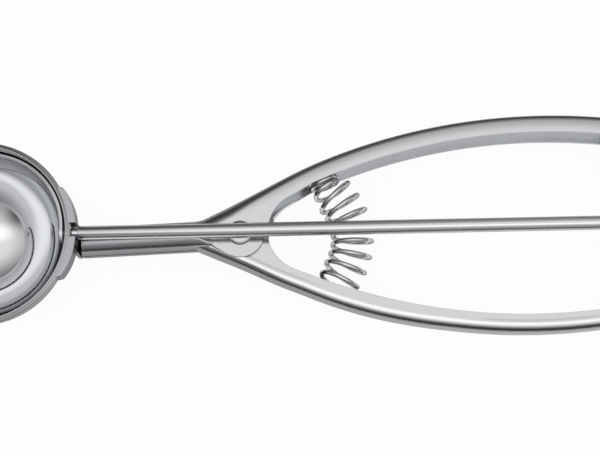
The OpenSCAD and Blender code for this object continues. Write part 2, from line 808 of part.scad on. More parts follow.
module spring_peg(offset, x) {
  tip = 0.6;
  seat = peg_r * peg_r / (2 * (grip_r - sheet));  // the web curves up to the foot's edge
  translate(seat_point(offset, x)) translate([0, 0, middle_z])
    rotate([0, 0, seat_angle(offset, x)]) rotate([0, -90, 0]) translate([0, 0, seat]) {
      cylinder(r = peg_r, h = peg_h - tip - seat);
      translate([0, 0, peg_h - tip - seat]) cylinder(r1 = peg_r, r2 = peg_r - tip, h = tip);
    }
}

module upper_spring_peg() {
  color(dull_steel) at_pivot() spring_peg(fixed_offset, upper_seat_x);
}

module lower_spring_peg() {
  color(dull_steel) at_pivot() rotate(lever_closer) mirror([0, 1, 0])
    spring_peg(lever_offset, lower_seat_x);
}

function ease(t) = let (u = max(0, min(1, t))) u * u * (3 - 2 * u);
function unit(v) = v / norm(v);
function spring_line(s) =
  pow(1 - s, 2) * spring_a + 2 * s * (1 - s) * spring_pull + pow(s, 2) * spring_b;
function spring_slope(s) =
  unit((1 - s) * (spring_pull - spring_a) + s * (spring_b - spring_pull));
// Share of the open spring's line that a count of turns has passed
function open_share(turns) =
  let (w = max(0, min(1, (turns - closed_turns) / open_turns)))
  w - pitch_ease * w * (1 - w) * (1 - 2 * w);
// Turns to the nearer end, beyond the closed ones, and how deep in the closed ones
function turns_out(turns) = min(turns, coil_turns - turns) - closed_turns;
function coil_centre(turns) =
  let (deep = -min(0, turns_out(turns)) * closed_pitch)
  spring_line(open_share(turns)) - near_normal(turns) * deep;
function near_normal(turns) = turns < coil_turns / 2 ? upper_normal : lower_normal;
// Axis of a coil: square to its seat at the ends, along the bowed line between
function coil_axis(turns) =
  let (seat_axis = turns < coil_turns / 2 ? upper_normal : -lower_normal)
  let (k = ease(turns_out(turns)))
  unit(seat_axis * (1 - k) + spring_slope(open_share(turns)) * k);
function coil_radius(turns) =
  coil_end_r + (coil_r - coil_end_r) * ease(turns_out(turns) / taper_turns);
function wire_point(turns) =
  let (c = coil_centre(turns), d = coil_axis(turns), a = 360 * turns, r = coil_radius(turns))
  [c[0] - d[1] * r * cos(a), c[1] + d[0] * r * cos(a), middle_z + r * sin(a)];
function wire_ring(turns) =
  let (e = 0.01, p = wire_point(turns), c = coil_centre(turns))
  let (ahead = unit(wire_point(min(coil_turns, turns + e)) - wire_point(max(0, turns - e))))
  let (outward = unit(p - [c[0], c[1], middle_z]))
  let (side = unit(cross(ahead, outward)), up = cross(side, ahead))
  [for (k = [0:wire_sides - 1])
    p + wire_d / 2 * (up * cos(k * 360 / wire_sides) + side * sin(k * 360 / wire_sides))];

module return_spring() {
  rings = [for (i = [0:spring_steps]) wire_ring(coil_turns * i / spring_steps)];
  points = [for (ring = rings) for (p = ring) p];
  n = wire_sides;
  walls = [
    for (i = [0:spring_steps - 1]) for (k = [0:n - 1])
      [i * n + k, i * n + (k + 1) % n, (i + 1) * n + (k + 1) % n, (i + 1) * n + k]
  ];
  first = [for (k = [n - 1:-1:0]) k];
  last = [for (k = [0:n - 1]) spring_steps * n + k];
  color(bright_steel) at_pivot() polyhedron(points, concat(walls, [first, last]), convexity = 10);
}

bowl();
bowl_bracket();
fixed_handle();
pivot_rivet();
pivot_spacer();
blade_pin();
upper_spring_peg();
bearing_bracket();
bracket_rivets();
lever_handle();
rack();
rack_rivets();
lower_spring_peg();
return_spring();
wiper_shaft();
wiper_blade();
blade_rivet();
pinion();
shaft_washer();
shaft_clip();
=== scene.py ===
"""Looks of a lever ice cream scoop in stainless steel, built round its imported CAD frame."""

import math
from collections import namedtuple

import bmesh
import bpy
from mathutils import Matrix, Vector


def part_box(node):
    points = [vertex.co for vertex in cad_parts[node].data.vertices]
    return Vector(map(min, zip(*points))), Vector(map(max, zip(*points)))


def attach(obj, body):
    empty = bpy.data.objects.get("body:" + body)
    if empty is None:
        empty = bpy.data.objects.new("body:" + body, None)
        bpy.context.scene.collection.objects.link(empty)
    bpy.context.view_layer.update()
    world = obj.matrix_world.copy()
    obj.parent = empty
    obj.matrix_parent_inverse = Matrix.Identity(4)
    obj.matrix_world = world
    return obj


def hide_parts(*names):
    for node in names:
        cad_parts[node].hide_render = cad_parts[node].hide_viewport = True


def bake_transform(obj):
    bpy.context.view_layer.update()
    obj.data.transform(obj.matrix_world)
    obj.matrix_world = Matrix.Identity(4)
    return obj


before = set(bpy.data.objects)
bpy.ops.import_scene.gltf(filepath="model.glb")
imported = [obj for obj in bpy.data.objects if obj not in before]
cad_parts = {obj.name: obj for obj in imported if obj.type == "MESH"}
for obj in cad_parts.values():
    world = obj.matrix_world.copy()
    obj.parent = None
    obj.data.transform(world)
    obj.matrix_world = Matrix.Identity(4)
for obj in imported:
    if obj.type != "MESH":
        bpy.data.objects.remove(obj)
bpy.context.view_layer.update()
scene = bpy.context.scene
MM = 0.001

# Bowl: one disc of stainless sheet, spun to a hemisphere with a short straight collar and
# polished to a mirror inside and out. The rim is turned out to a narrow sloping lip.
bowl_low, bowl_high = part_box("bowl")
AXIS_HEIGHT = 0.0258
BOWL_CENTRE = Vector(((bowl_low.x + bowl_high.x) / 2, (bowl_low.y + bowl_high.y) / 2, AXIS_HEIGHT))
BOWL_OUT = (bowl_high.x - bowl_low.x) / 2
BOWL_IN = BOWL_OUT - 0.8 * MM
COLLAR = bowl_high.z - BOWL_CENTRE.z
ARC_STEPS, BOWL_STEPS = 48, 128


def linear(hex_colour):
    """An sRGB hex colour as linear RGBA."""
    parts = [int(hex_colour[i : i + 2], 16) / 255 for i in (1, 3, 5)]
    return [p / 12.92 if p <= 0.04045 else ((p + 0.055) / 1.055) ** 2.4 for p in parts] + [1]


def node(tree, kind, settings=None, **sockets):
    """Adds a shader node. A socket is named, or numbered as _0, and is given a value, or
    (node, output) to link it."""
    made = tree.nodes.new(kind)
    for name, value in (settings or {}).items():
        setattr(made, name, value)
    for name, value in sockets.items():
        key = int(name[1:]) if name[1:].isdigit() else name.replace("_", " ")
        socket = made.inputs[key]
        if isinstance(value, tuple) and isinstance(value[0], bpy.types.Node):
            tree.links.new(value[0].outputs[value[1]], socket)
        else:
            socket.default_value = value
    return made


# Real polishing lines lie some hundredths of a millimetre apart. Each steel's line_mm draws
# them some tenths wide, as coarse as they need to be to show. Blotches of wear are 11 mm wide.
LINE_LENGTH, LINE_WEIGHT, LINE_GROOVE = 60, 0.6, 0.02 * MM
BLOTCHES_PER_METRE = 90.0
PATTERN_LOW, PATTERN_HIGH = 0.4, 1.2
DULLER_UNDER_MASK = 0.1


def steel(name, colour, roughness, line_mm, axis, wear, depth, edge="#9A9B9C", worked=None):
    """Stainless steel: fine polishing lines along one axis and faint blotches of handling wear.
    Where a mesh attribute is set, the steel turns to a second colour and a duller finish: a
    greyer lip on the bowl, and painted shade on the handles."""
    made = bpy.data.materials.new(name)
    made.use_nodes = True
    tree = made.node_tree
    shader = tree.nodes["Principled BSDF"]
    shader.inputs["Base Color"].default_value = linear(colour)
    shader.inputs["Metallic"].default_value = 1
    shader.inputs["Specular Tint"].default_value = linear(edge)
    place = node(tree, "ShaderNodeTexCoord")
    stretch = [1 / (line_mm * MM)] * 3
    stretch["XYZ".index(axis)] = 1 / (line_mm * LINE_LENGTH * MM)
    lines_at = node(tree, "ShaderNodeMapping", Vector=(place, "Object"), Scale=stretch)
    lines = node(tree, "ShaderNodeTexNoise", Vector=(lines_at, 0), Scale=1.0, Detail=2.0)
    blotch = node(tree, "ShaderNodeTexNoise", Vector=(place, "Object"),
                  Scale=BLOTCHES_PER_METRE, Detail=3.0)
    pattern = node(tree, "ShaderNodeMath", {"operation": "MULTIPLY_ADD"},
                   _0=(lines, 0), _1=LINE_WEIGHT, _2=(blotch, 0))
    spread = node(tree, "ShaderNodeMapRange", Value=(pattern, 0),
                  From_Min=PATTERN_LOW, From_Max=PATTERN_HIGH,
                  To_Min=max(roughness - wear, 0.01), To_Max=roughness + wear)
    # On the handles the second colour is painted shade, in place of the dark reflections that the steel
    # shows there.
    if worked:
        tone_and_painted_shade_mask = node(tree, "ShaderNodeAttribute", {"attribute_name": "tone_and_painted_shade_mask"})
        tone = node(tree, "ShaderNodeMix", {"data_type": "RGBA"}, Factor=(tone_and_painted_shade_mask, "Fac"),
                    _6=linear(colour), _7=linear(worked))
        tree.links.new(tone.outputs[2], shader.inputs["Base Color"])
        spread = node(tree, "ShaderNodeMath", {"operation": "MULTIPLY_ADD"},
                      _0=(tone_and_painted_shade_mask, "Fac"), _1=DULLER_UNDER_MASK, _2=(spread, 0))
    tree.links.new(spread.outputs[0], shader.inputs["Roughness"])
    if depth:
        bump = node(tree, "ShaderNodeBump", Height=(lines, 0), Strength=depth, Distance=LINE_GROOVE)
        tree.links.new(bump.outputs[0], shader.inputs["Normal"])
    return made


def finish_piece(name, mesh_edit, material, body, stands_for):
    """Turns a bmesh into a shown piece that rides on its body in place of CAD nodes."""
    bmesh.ops.remove_doubles(mesh_edit, verts=mesh_edit.verts, dist=0.0005 * MM)
    bmesh.ops.recalc_face_normals(mesh_edit, faces=mesh_edit.faces)
    mesh = bpy.data.meshes.new(name)
    mesh_edit.to_mesh(mesh)
    mesh_edit.free()
    for face in mesh.polygons:
        face.use_smooth = True
    piece = bpy.data.objects.new(name, mesh)
    scene.collection.objects.link(piece)
    mesh.materials.append(material)
    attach(piece, body)
    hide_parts(*stands_for)
    return piece


def lathe(profile, steps):
    """A turned shape: the profile is a list of (radius, height), spun round Z."""
    made = bmesh.new()
    points = [made.verts.new((r, 0, z)) for r, z in profile]
    edges = [made.edges.new(pair) for pair in zip(points, points[1:])]
    bmesh.ops.spin(made, geom=points + edges, cent=(0, 0, 0), axis=(0, 0, 1),
                   angle=math.tau, steps=steps, use_merge=True)
    return made


def arc(centre, radius, start, end, steps):
    """Points on an arc, from one angle to another in degrees, in the plane of the profile."""
    angles = [math.radians(start + (end - start) * i / steps) for i in range(steps + 1)]
    return [(centre[0] + radius * math.cos(a), centre[1] + radius * math.sin(a)) for a in angles]


# Mirror-polished stainless: sharp, bright images of the studio that hardly blur where hands
# have worn it, and a slightly greyer, softer lip.
MIRROR_STEEL = steel("mirror_polished_stainless", "#DDDEE0", roughness=0.05, line_mm=0.25,
                     axis="X", wear=0.02, depth=0.0, worked="#CBCCCF")

# The lip's section in millimetres, outwards from the bowl's outside and upwards from the top
# of the collar: up the outside, over the crest and down to the inside of the wall.
LIP = [(0, -2.1), (0.08, -1.75), (0.3, -1.5), (0.62, -1.38), (0.78, -1.2), (0.8, -1.0),
       (0.72, -0.84), (0.4, -0.62), (-0.1, -0.3), (-0.3, -0.1), (-0.42, 0), (-0.52, -0.03),
       (-0.64, -0.12), (-0.73, -0.26), (-0.79, -0.5)]
WORKED_BELOW, WORKED_OUTSIDE = 1.9 * MM, 0.04 * MM

profile = (arc((0, 0), BOWL_OUT, -90, 0, ARC_STEPS)
           + [(BOWL_OUT + r * MM, COLLAR + z * MM) for r, z in LIP]
           + arc((0, 0), BOWL_IN, 0, -90, ARC_STEPS))
shell = lathe(profile, BOWL_STEPS)
tone_and_painted_shade_mask = shell.verts.layers.float.new("tone_and_painted_shade_mask")
for vert in shell.verts:
    if vert.co.z > COLLAR - WORKED_BELOW and vert.co.xy.length > BOWL_IN + WORKED_OUTSIDE:
        vert[tone_and_painted_shade_mask] = 1.0
bmesh.ops.translate(shell, verts=shell.verts, vec=BOWL_CENTRE)
finish_piece("bowl_shell", shell, MIRROR_STEEL, "frame", ["bowl"])

# Bowl bracket: a strap of sheet whose ends close on to the bowl and are welded there, notched
# for the shaft, with a tongue that the neck is welded to. Its upper edge leans in to the lip.

# Radii and heights are millimetres from the bowl's centre, and places along the strap are
# degrees from the shaft.
BAND_IN, BAND_OUT, BAND_TOP, BAND_LOW = 26.9, 28.1, 3.0, -2.6
TONGUE_LOW, TONGUE_FROM, TONGUE_TO, BAND_END = -12.6, -9.8, 6.2, 30
NOTCH_FROM, NOTCH_TO, NOTCH_LOW, LIP_CLOSE = -3.0, 5.0, -2.0, 25.9
CLOSE_FROM, CLOSE_IN, CLOSE_OUT = 0.3, 1.5, 0.9
THIN_FROM, THIN_BY = 0.88, 1.0
BAND_STEP, BAND_SIDES = 0.8, 4


def tumble(piece, width_mm, segments=2, sharper_than=40):
    """The small radius that tumbling leaves on edges sharper than an angle in degrees."""
    edge = piece.modifiers.new("tumbled_edges", "BEVEL")
    edge.width = width_mm * MM
    edge.segments = segments
    edge.limit_method = "ANGLE"
    edge.angle_limit = math.radians(sharper_than)
    shade = piece.modifiers.new("even_shading", "WEIGHTED_NORMAL")
    shade.keep_sharp = False


def dress(name, material, edge_mm):
    """Gives a CAD node its steel, and rounds the edges that the press or the lathe left."""
    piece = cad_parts[name]
    for held in piece.material_slots:
        held.link = "OBJECT"
        held.material = material
    weld = piece.modifiers.new("joined", "WELD")
    weld.merge_threshold = 0.0004 * MM
    tumble(piece, edge_mm)


def band_section(degrees, notched, tongued):
    """Corners (radius, height) of the band's section at an angle from the shaft. Its ends close
    in on the bowl, and thin out at the last."""
    close = max(0.0, abs(degrees) / BAND_END - CLOSE_FROM) / (1 - CLOSE_FROM)
    thin = THIN_BY * max(0.0, close - THIN_FROM) / (1 - THIN_FROM)
    inner = BAND_IN - CLOSE_IN * close**2
    outer = BAND_OUT - CLOSE_OUT * close**2 - thin
    top = NOTCH_LOW if notched else BAND_TOP
    low = TONGUE_LOW if tongued else BAND_LOW
    return [(inner, low), (min(inner, LIP_CLOSE), top), (outer, top), (outer, low), (inner, low)]


# Satin stainless: a broad soft sheen with no clear images in it, a tone greyer than the bowl.
STRAP_STEEL = steel("satin_stainless_strap", "#B4B5B8", roughness=0.24, line_mm=0.3,
                    axis="Z", wear=0.06, depth=0.05)

band_parts = [(-BAND_END, TONGUE_FROM, False, False), (TONGUE_FROM, NOTCH_FROM, False, True),
              (NOTCH_FROM, NOTCH_TO, True, True), (NOTCH_TO, TONGUE_TO, False, True),
              (TONGUE_TO, BAND_END, False, False)]
band = []
for start, end, notched, tongued in band_parts:
    steps = math.ceil((end - start) / BAND_STEP)
    band += [(start + (end - start) * i / steps, notched, tongued) for i in range(steps + 1)]
strap = bmesh.new()
bmesh.ops.create_grid(strap, x_segments=len(band) - 1, y_segments=BAND_SIDES, size=1)
for vert in strap.verts:
    column = band[round((vert.co.x + 1) / 2 * (len(band) - 1))]
    radius, height = band_section(*column)[round((vert.co.y + 1) / 2 * BAND_SIDES)]
    angle = math.radians(column[0])
    vert.co = BOWL_CENTRE + Vector((radius * math.cos(angle), radius * math.sin(angle), height)) * MM
bmesh.ops.remove_doubles(strap, verts=strap.verts, dist=0.001 * MM)
bmesh.ops.holes_fill(strap, edges=[e for e in strap.edges if e.is_boundary], sides=0)
strap_piece = finish_piece("bowl_bracket_strap", strap, STRAP_STEEL, "frame",
                           ["bowl_bracket"])
tumble(strap_piece, 0.22, segments=3)

# Wiper blade: a strip of spring steel bent to the bowl, ground to a brushed finish, with a
# round tab at both ends. It turns on a pin at the far side and is headed on to the shaft.

# Brushed stainless: pale and even, with fine lines along the strip and no images in it.
BLADE_STEEL = steel("brushed_stainless_blade", "#E2E3E5", roughness=0.4, line_mm=0.22,
                    axis="X", wear=0.08, depth=0.1)
# Turned stainless: small parts with a clear but slightly blurred shine.
PIN_STEEL = steel("turned_stainless", "#CFD0D2", roughness=0.16, line_mm=0.12,
                  axis="Z", wear=0.05, depth=0.04)
dress("wiper_blade", BLADE_STEEL, 0.1)
dress("blade_rivet", PIN_STEEL, 0.05)
dress("blade_pin", PIN_STEEL, 0.05)

# Handles: two stampings of 0.9 mm sheet, each a channel whose web follows the outside of the
# grip and whose flanges are slightly crowned. The fixed one closes into the neck.

# Sizes are millimetres from the pivot, x to the tail and y to the upper grip, and angles are
# degrees. A run is how far along the neck or a grip, from beside the pivot towards the tail.
SHAFT_Y, AXIS_Z = BOWL_CENTRE.y, BOWL_CENTRE.z
pivot_low, pivot_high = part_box("pivot_spacer")
PIVOT = Vector(((pivot_low.x + pivot_high.x) / 2, SHAFT_Y, AXIS_Z))
SPLAY, NECK_TURN = 25.5, 2
SHEET, MIDDLE_Z, SEAM_HALF = 0.9, -9.2, 0.35
STEP_FROM, STEP_WIDTH = 2.5, 1.1
NECK_LOW = -45.9
MOUTH_FROM, MOUTH_FADE, MOUTH_TAN = 0.8, -36.0, math.tan(math.radians(6))
WEB_ROWS, BEND_ROWS, FACE_ROWS, CORNER_ROWS, FLOOR_ROWS = 2, 8, 14, 6, 3
NEAR_ROWS, NEAR_DEPTH = 11, 4.3

# One column of a stamping: a point on the web's outside, the way across the face, how deep the
# face is and its Flange. The neck has a corner below that, and a floor where it is closed.
Station = namedtuple("Station", "outer inward depth section corner down closed",
                     defaults=(0.0, None, False))


def heading(degrees):
    """Unit vector in the plane of the handles."""
    return Vector((math.cos(math.radians(degrees)), math.sin(math.radians(degrees))))


def along(offset, run):
    """Point beside the straight stretch: its distance from the pivot line, and how far along."""
    return heading(SPLAY + 90) * offset + heading(SPLAY) * run


def ease(t):
    """Goes smoothly from 0 to 1 as t does, and stays there outside."""
    t = min(max(t, 0.0), 1.0)
    return t * t * (3 - 2 * t)


def swell(t):
    """A smooth bump, 1 at 0 and 0 from -1 and 1 outwards."""
    return max(0.0, 1 - t * t) ** 2


class Flange:
    """Section of one flange: a bend off the web, a crown that eases it into the face, and a
    shallow step down to the face where the stamping has one. It also holds the painted shade
    given to its web and its face."""

    def __init__(self, bend_r, crown_r, crown_end, step=0.0, worked_web=0.0, painted_shade_face=0.0):
        self.bend_r, self.crown_r, self.crown_end = bend_r, crown_r, crown_end
        self.step, self.worked_web, self.painted_shade_face = step, worked_web, painted_shade_face
        slope = 0.0
        for _ in range(20):  # settles on the slope at which the bend runs into the crown
            slope = max(math.atan((crown_end - bend_r * (1 - math.sin(slope))) / crown_r), 0.0)
        self.turn = math.pi / 2 - slope
        self.depth = bend_r * (1 - math.cos(self.turn))
        self.rise = bend_r * math.sin(self.turn)

    def drop(self, depth):
        """How far the face lies below its highest plane at a distance from the outside."""
        crown = max(0.0, self.crown_end - depth) ** 2 / (2 * self.crown_r)
        return crown + self.step * ease((depth - STEP_FROM) / STEP_WIDTH)


def face_point(station, half, row, web_top):
    """Point of the face; most rows lie near the bend, where the crown is."""
    section = station.section
    if station.depth < section.depth:
        turn = math.acos(1 - max(station.depth, 0.0) / section.bend_r)
        return station.outer + station.inward * station.depth, web_top + section.bend_r * math.sin(turn)
    near = min(NEAR_DEPTH, station.depth)
    if row <= NEAR_ROWS:
        across = section.depth + (near - section.depth) * row / NEAR_ROWS
    else:
        across = near + (station.depth - near) * (row - NEAR_ROWS) / (FACE_ROWS - NEAR_ROWS)
    return station.outer + station.inward * across, half - section.drop(across)


def corner_point(station, half, row):
    """Point of the lower corner or of the floor up to the seam, or None where there is none."""
    if not station.corner or (row > CORNER_ROWS and not station.closed):
        return None
    top = half - station.section.drop(station.depth)
    turn = math.radians(90 * min(row / CORNER_ROWS, 1))
    edge = station.outer + station.inward * station.depth
    place = edge + station.down * station.corner * math.sin(turn)
    if row <= CORNER_ROWS:
        return place, top - station.corner * (1 - math.cos(turn))
    share = (row - CORNER_ROWS) / FLOOR_ROWS
    return place, (top - station.corner) * (1 - share) + SEAM_HALF * share


def section_point(station, half, row):
    """Place in the plane of the handles, and height over their middle, of one row."""
    section = station.section
    web_top = half - section.drop(section.depth) - section.rise
    if row <= WEB_ROWS:
        return station.outer, web_top * row / WEB_ROWS
    row -= WEB_ROWS
    if row <= BEND_ROWS:
        reached = math.acos(1 - min(max(station.depth, 0.0) / section.bend_r, 1))
        turn = min(section.turn * row / BEND_ROWS, reached)
        place = station.outer + station.inward * section.bend_r * (1 - math.cos(turn))
        return place, web_top + section.bend_r * math.sin(turn)
    row -= BEND_ROWS
    if row <= FACE_ROWS:
        return face_point(station, half, row, web_top)
    return corner_point(station, half, row - FACE_ROWS)


def painted_shade_share(section, row):
    """How much painted shade a row has, with a duller finish: all of it at the middle of the bend."""
    step = row - WEB_ROWS
    bend = math.sin(math.pi * min(max(step / BEND_ROWS, 0), 1)) ** 0.5
    return max(bend, section.worked_web if step < BEND_ROWS / 2 else section.painted_shade_face)


def stamping(stations, half, body_turn):
    """Half a channel as a grid with one column for each station and rows from the web's middle
    round the bend and over the face, then mirrored, and cut at a slant at the neck's mouth."""
    rows = WEB_ROWS + BEND_ROWS + FACE_ROWS + CORNER_ROWS + FLOOR_ROWS
    columns = len(stations) - 1
    made = bmesh.new()
    bmesh.ops.create_grid(made, x_segments=columns, y_segments=rows, size=1)
    # Each vertex carries its share of painted shade, which the steel turns to a darker colour.
    tone_and_painted_shade_mask = made.verts.layers.float.new("tone_and_painted_shade_mask")
    spare = []
    for vert in made.verts:
        station = stations[round((vert.co.x + 1) / 2 * columns)]
        row = round((vert.co.y + 1) / 2 * rows)
        point = section_point(station, half, row)
        if point is None:
            spare.append(vert)
            continue
        place, z = point
        vert.co = body_turn @ Vector((place.x, place.y, z))
        vert[tone_and_painted_shade_mask] = painted_shade_share(station.section, row)
    bmesh.ops.delete(made, geom=spare, context="VERTS")
    twin = bmesh.ops.duplicate(made, geom=made.verts[:] + made.edges[:] + made.faces[:])["geom"]
    copied = [g for g in twin if isinstance(g, bmesh.types.BMVert)]
    bmesh.ops.scale(made, verts=copied, vec=(1, 1, -1))
    bmesh.ops.reverse_faces(made, faces=[g for g in twin if isinstance(g, bmesh.types.BMFace)])
    bmesh.ops.remove_doubles(made, verts=made.verts, dist=1e-4)
    to_tail = heading(NECK_TURN)
    for vert in made.verts:
        run = Vector(vert.co[:2]).dot(to_tail)
        if run < MOUTH_FADE:
            share = (MOUTH_FADE - run) / (MOUTH_FADE - NECK_LOW)
            rise = max(0.0, vert.co.z - MOUTH_FROM)
            vert.co += Vector((*to_tail, 0)) * rise * MOUTH_TAN * share
    bmesh.ops.translate(made, verts=made.verts, vec=(0, 0, MIDDLE_Z))
    bmesh.ops.scale(made, verts=made.verts, vec=(MM, MM, MM))
    bmesh.ops.translate(made, verts=made.verts, vec=PIVOT)
    return made


def edge_and_wall(piece):
    """Sheet thickness inwards, and the small radius that tumbling leaves on its edges."""
    wall = piece.modifiers.new("sheet", "SOLIDIFY")
    wall.thickness = SHEET * MM
    wall.offset = -1
    wall.use_even_offset = False
    tumble(piece, 0.14, sharper_than=50)


# Fixed handle: the neck, closed but for a seam underneath, the round ears and the upper grip,
# pressed as one piece and polished. The neck is welded to the tongue of the bowl's bracket.
FIXED_OFFSET, FIXED_HALF = 9.03, 5.8
GRIP_R, GRIP_TURN, GRIP_STEPS = 173, 31, 72
TAIL_R, TAIL_TURN, TAIL_STEPS = 60, 33, 40
STRAIGHT_RUN, STRAIGHT_STEPS, FLANGE = 19.8, 60, 5
BEND_R, EAR_BEND_MORE, EAR_BEND_FADE = 2.4, 1.8, 12
CROWN_R, CROWN_END = 15, 5
SWELL_BY, SWELL_FROM, SWELL_OVER = 0.5, 2, 28
CROTCH_X, CROTCH_R, CROTCH_FADE = 20, 12.1, 8
EAR_R, EAR_LEFT, EAR_STEPS = 7, -117, 12
NECK_LIFT, NECK_HALF, NECK_CORNER, NECK_STEPS = 0.7, 3.9, 3.4, 12
NECK_BEND_R, NECK_BEND_MORE = 3.0, 1.2
# How much painted shade the neck's face and floor carry, and how much less where the neck opens.
NECK_PAINTED_SHADE, NECK_PAINTED_SHADE_LESS = 0.9, 0.3
BLEND_R = 12
OPEN_END, OPEN_CORNER, OPEN_STEPS = -8.4, 0.95, 8
EDGE_DROP, EDGE_FROM = 0.4, 0.12
ROLLED, ROLLED_LESS = 0.8, 0.85
STATION_GAP = 0.25


def fixed_flange(run):
    """The bend is fuller round the ears than along the grip."""
    return Flange(BEND_R + EAR_BEND_MORE * math.exp(-max(run, 0) / EAR_BEND_FADE), CROWN_R, CROWN_END)


def fixed_bulge(run):
    """Past the ears the upper outline swells a little."""
    return SWELL_BY * ease((run - SWELL_FROM) / SWELL_OVER)


def neck_at(run, height):
    """Point of the neck: how far along its centre line, and how far above it."""
    return heading(NECK_TURN) * run + heading(NECK_TURN + 90) * (NECK_LIFT + height)


def crossing(distance_1, angle_1, distance_2, angle_2):
    """Where two lines meet, each given by its distance from the pivot and its slope."""
    n1, n2 = heading(angle_1 + 90), heading(angle_2 + 90)
    det = n1.x * n2.y - n2.x * n1.y
    x = (distance_1 * n2.y - distance_2 * n1.y) / det
    y = (n1.x * distance_2 - n2.x * distance_1) / det
    return Vector((x, y))


def ear_depth(offset, run, ear_r):
    """How deep the face reaches below the outside beside the pivot and the crotch."""
    splay = math.radians(SPLAY)
    centre = Vector((CROTCH_X * math.cos(splay), -CROTCH_X * math.sin(splay)))
    if run < ear_r * math.cos(splay):
        low = -math.sqrt(max(ear_r**2 - run**2, 0.0))
    elif run < (CROTCH_X - CROTCH_R) * math.cos(splay):
        low = -run * math.tan(splay)
    elif run < centre.x:
        low = centre.y + math.sqrt(CROTCH_R**2 - (run - centre.x) ** 2)
    else:
        gap = (centre.y + CROTCH_R) - (offset - FLANGE)
        return FLANGE - gap * (1 - ease((run - centre.x) / CROTCH_FADE))
    return offset - low


def grip_stations(offset, first_run, run_steps, ear_r, bulge, flange_at):
    """Stations of the straight stretch, the long bow and the tail bow."""
    made = []
    out = heading(SPLAY + 90)
    for i in range(run_steps):
        run = first_run + (STRAIGHT_RUN - first_run) * i / run_steps
        depth = ear_depth(offset, run, ear_r) + bulge(run)
        made.append(Station(along(offset + bulge(run), run), -out, depth, flange_at(run)))
    centre = along(offset - GRIP_R, STRAIGHT_RUN)
    for i in range(GRIP_STEPS):
        turned = GRIP_TURN * i / GRIP_STEPS
        out = heading(SPLAY + 90 - turned)
        run = STRAIGHT_RUN + math.radians(turned) * GRIP_R
        depth = ear_depth(offset, run, ear_r) + bulge(run)
        made.append(Station(centre + out * (GRIP_R + bulge(run)), -out, depth, flange_at(run)))
    tail = centre + heading(SPLAY + 90 - GRIP_TURN) * (GRIP_R - TAIL_R)
    for i in range(TAIL_STEPS + 1):
        turned = TAIL_TURN * i / TAIL_STEPS
        out = heading(SPLAY + 90 - GRIP_TURN - turned)
        run = STRAIGHT_RUN + math.radians(GRIP_TURN) * GRIP_R + math.radians(turned) * TAIL_R
        depth = FLANGE + bulge(run)
        made.append(Station(tail + out * (TAIL_R + bulge(run)), -out, depth, flange_at(run)))
    return made


# The closed neck, a box with round lower corners.
blend_centre = crossing(FIXED_OFFSET + BLEND_R, SPLAY, NECK_LIFT + NECK_HALF + BLEND_R, NECK_TURN)
neck_end = blend_centre.dot(heading(NECK_TURN))
down = heading(NECK_TURN - 90)
fixed_stations = []
for i in range(NECK_STEPS):
    run = NECK_LOW + (neck_end - NECK_LOW) * i / NECK_STEPS
    section = Flange(NECK_BEND_R, CROWN_R, CROWN_END, painted_shade_face=NECK_PAINTED_SHADE)
    fixed_stations.append(Station(neck_at(run, NECK_HALF), down, 2 * NECK_HALF - NECK_CORNER,
                                  section, NECK_CORNER, down, closed=True))

# The neck opens: its corners tighten while the web turns up into the grip.
for i in range(OPEN_STEPS + 1):
    run = neck_end + (OPEN_END - neck_end) * i / OPEN_STEPS
    share = i / OPEN_STEPS
    corner = NECK_CORNER + (OPEN_CORNER - NECK_CORNER) * ease(share) ** 1.5
    target = neck_at(run, -NECK_HALF + corner)
    ray = (target - blend_centre).normalized()
    outer = blend_centre + ray * BLEND_R
    section = Flange(NECK_BEND_R + NECK_BEND_MORE * share, CROWN_R, CROWN_END,
                     painted_shade_face=NECK_PAINTED_SHADE - NECK_PAINTED_SHADE_LESS * share)
    fixed_stations.append(Station(outer, ray, (target - outer).length,
                                  section, corner, down, closed=True))

# The floor has ended: a straight edge runs down to the round of the ear, rolled in at first.
low_left = neck_at(OPEN_END, -NECK_HALF - EDGE_DROP)
ear_left = heading(EAR_LEFT) * EAR_R
rolled_to = Vector((low_left.y - ear_left.y, ear_left.x - low_left.x)).normalized() * -1
for i in range(1, EAR_STEPS + 1):
    roll = ROLLED * (1 - ROLLED_LESS * ease(i / EAR_STEPS))
    target = low_left.lerp(ear_left, EDGE_FROM + (1 - EDGE_FROM) * i / EAR_STEPS) - rolled_to * roll
    ray = (target - blend_centre).normalized()
    if math.degrees(math.atan2(ray.y, ray.x)) < SPLAY - 90:
        outer = blend_centre + ray * BLEND_R
    else:
        ray = -heading(SPLAY + 90)
        outer = along(FIXED_OFFSET, target.dot(heading(SPLAY)))
    fixed_stations.append(Station(outer, ray, (target - outer).length,
                                  fixed_flange(0), roll, rolled_to))
fixed_stations += grip_stations(FIXED_OFFSET, target.dot(heading(SPLAY)) + STATION_GAP,
                                STRAIGHT_STEPS, EAR_R, fixed_bulge, fixed_flange)

# Polished stainless: bright with soft-edged images. Round the bends, along the neck and on the
# lever's web near the ears its colour is darkened as painted shade, for the dark reflections
# seen there, and its finish is a little duller.
HANDLE_STEEL = steel("polished_stainless_handle", "#D4D5D7", roughness=0.13, line_mm=0.2,
                     axis="X", wear=0.04, depth=0.03, worked="#8E8F92", edge="#C0C1C2")
fixed_shell = stamping(fixed_stations, FIXED_HALF, Matrix.Identity(3))
fixed_piece = finish_piece("fixed_handle_stamping", fixed_shell, HANDLE_STEEL, "frame",
                           ["fixed_handle"])
edge_and_wall(fixed_piece)

